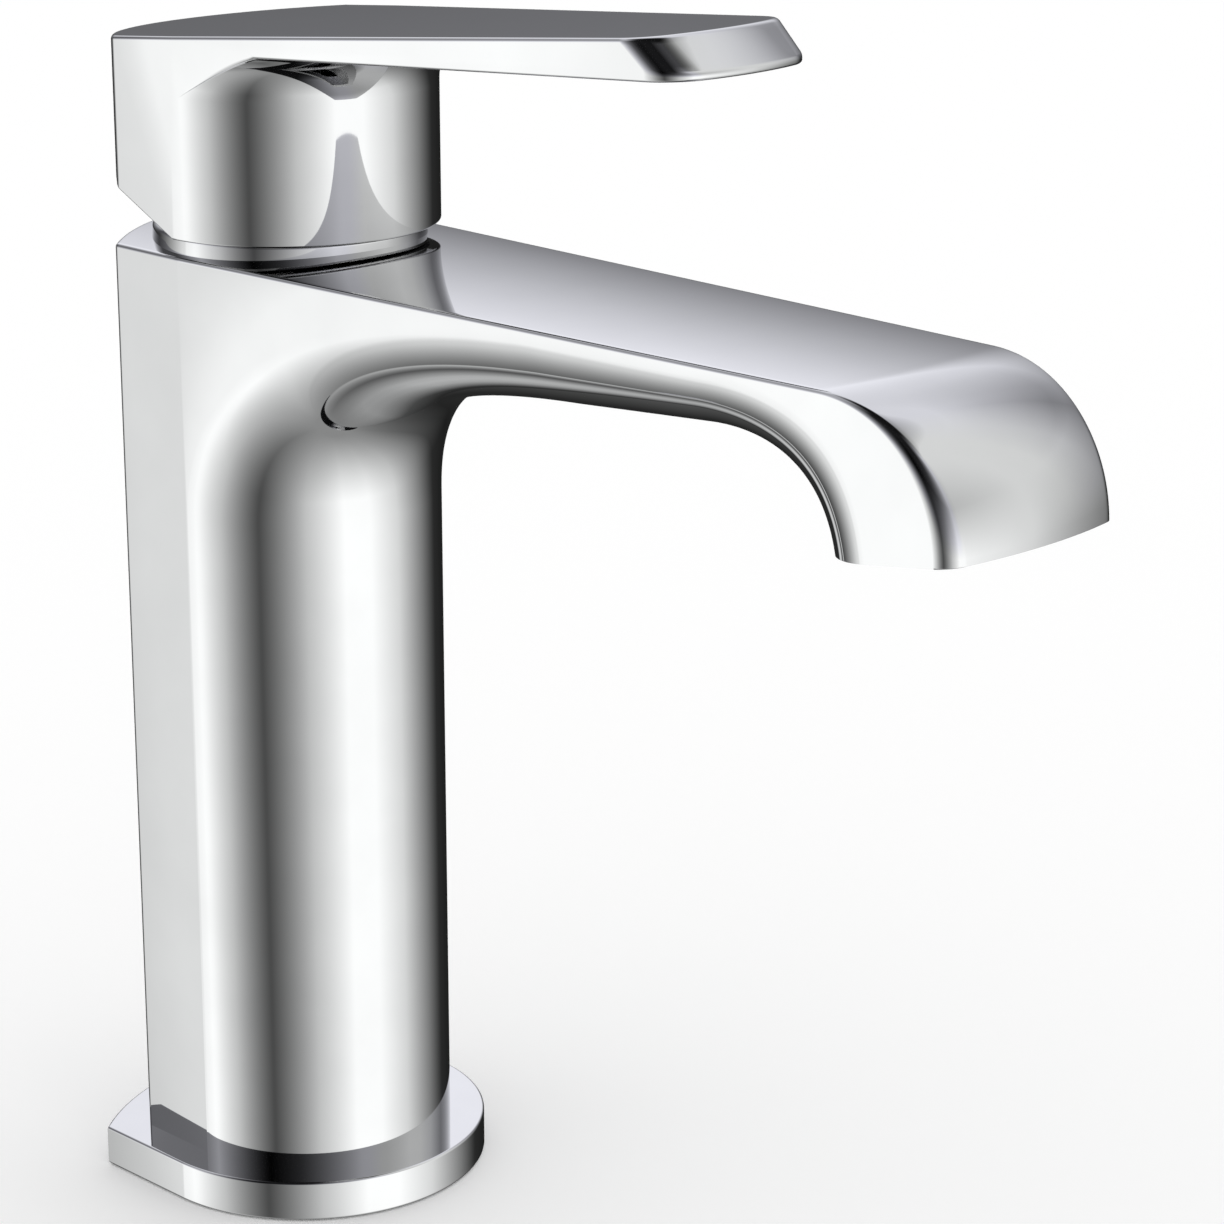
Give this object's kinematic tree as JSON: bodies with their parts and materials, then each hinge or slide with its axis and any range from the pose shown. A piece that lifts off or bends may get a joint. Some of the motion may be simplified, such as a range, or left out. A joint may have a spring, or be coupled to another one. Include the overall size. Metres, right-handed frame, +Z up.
{
  "type": "basin mixer faucet",
  "caption": "Single lever basin mixer with a round-fronted column, a flat-topped spout that bends down at its tip, and a lever that lifts for flow and turns for temperature.",
  "frame": {"origin": "on the column axis at the deck surface, in the mouth of the base plate opening", "axes": "+Z up along the column, +X along the spout, +Y to the left of someone behind the faucet looking along the spout"},
  "size_m": [0.1548, 0.0496, 0.1703],
  "materials": {
    "polished_chrome": "mirror polished chrome plate on brass",
    "brass_fitting": "machined brass",
    "stainless_steel": "turned stainless steel",
    "cartridge_plastic": "moulded white acetal",
    "rotor_plastic": "moulded dark grey acetal",
    "stop_plastic": "moulded red acetal",
    "ceramic": "lapped alumina ceramic",
    "seal_rubber": "black EPDM",
    "aerator_plastic": "moulded grey plastic"
  },
  "bodies": {
    "mixer_body": {"body": "polished_chrome", "base_plate": "polished_chrome", "trim_ring": "polished_chrome", "aerator_housing": "aerator_plastic", "aerator_core": "aerator_plastic", "aerator_screen": "stainless_steel", "aerator_washer": "seal_rubber", "base_gasket": "seal_rubber", "foot_seal": "seal_rubber", "cartridge_nut": "brass_fitting", "cartridge_base": "cartridge_plastic", "cartridge_housing": "cartridge_plastic", "inlet_seals": "seal_rubber", "housing_seal": "seal_rubber", "fixed_disc": "ceramic", "temperature_stop": "stop_plastic"},
    "rotor_unit": {"rotor": "rotor_plastic", "pivot_pin": "stainless_steel"},
    "disc_unit": {"moving_disc": "ceramic", "disc_carrier": "rotor_plastic"},
    "lever_unit": {"lever_stem": "stainless_steel", "handle": "polished_chrome", "handle_insert": "rotor_plastic", "set_screw": "stainless_steel", "screw_plug": "polished_chrome"}
  },
  "joints": [
    {"name": "temperature", "type": "hinge", "parent": "mixer_body", "child": "rotor_unit", "pos_m": [0, 0, 0.128], "axis": [0, 0, 1], "range_deg": [-45, 45]},
    {"name": "flow", "type": "hinge", "parent": "rotor_unit", "child": "lever_unit", "pos_m": [0, 0, 0.128], "axis": [0, -1, 0], "range_deg": [0, 25]},
    {"name": "disc_slide", "type": "slide", "parent": "rotor_unit", "child": "disc_unit", "axis": [1, 0, 0], "range_m": [0, 0.0043]}
  ],
  "couplings": [
    {"joint": "disc_slide", "follows": "flow", "m_per_rad": 0.009686}
  ]
}
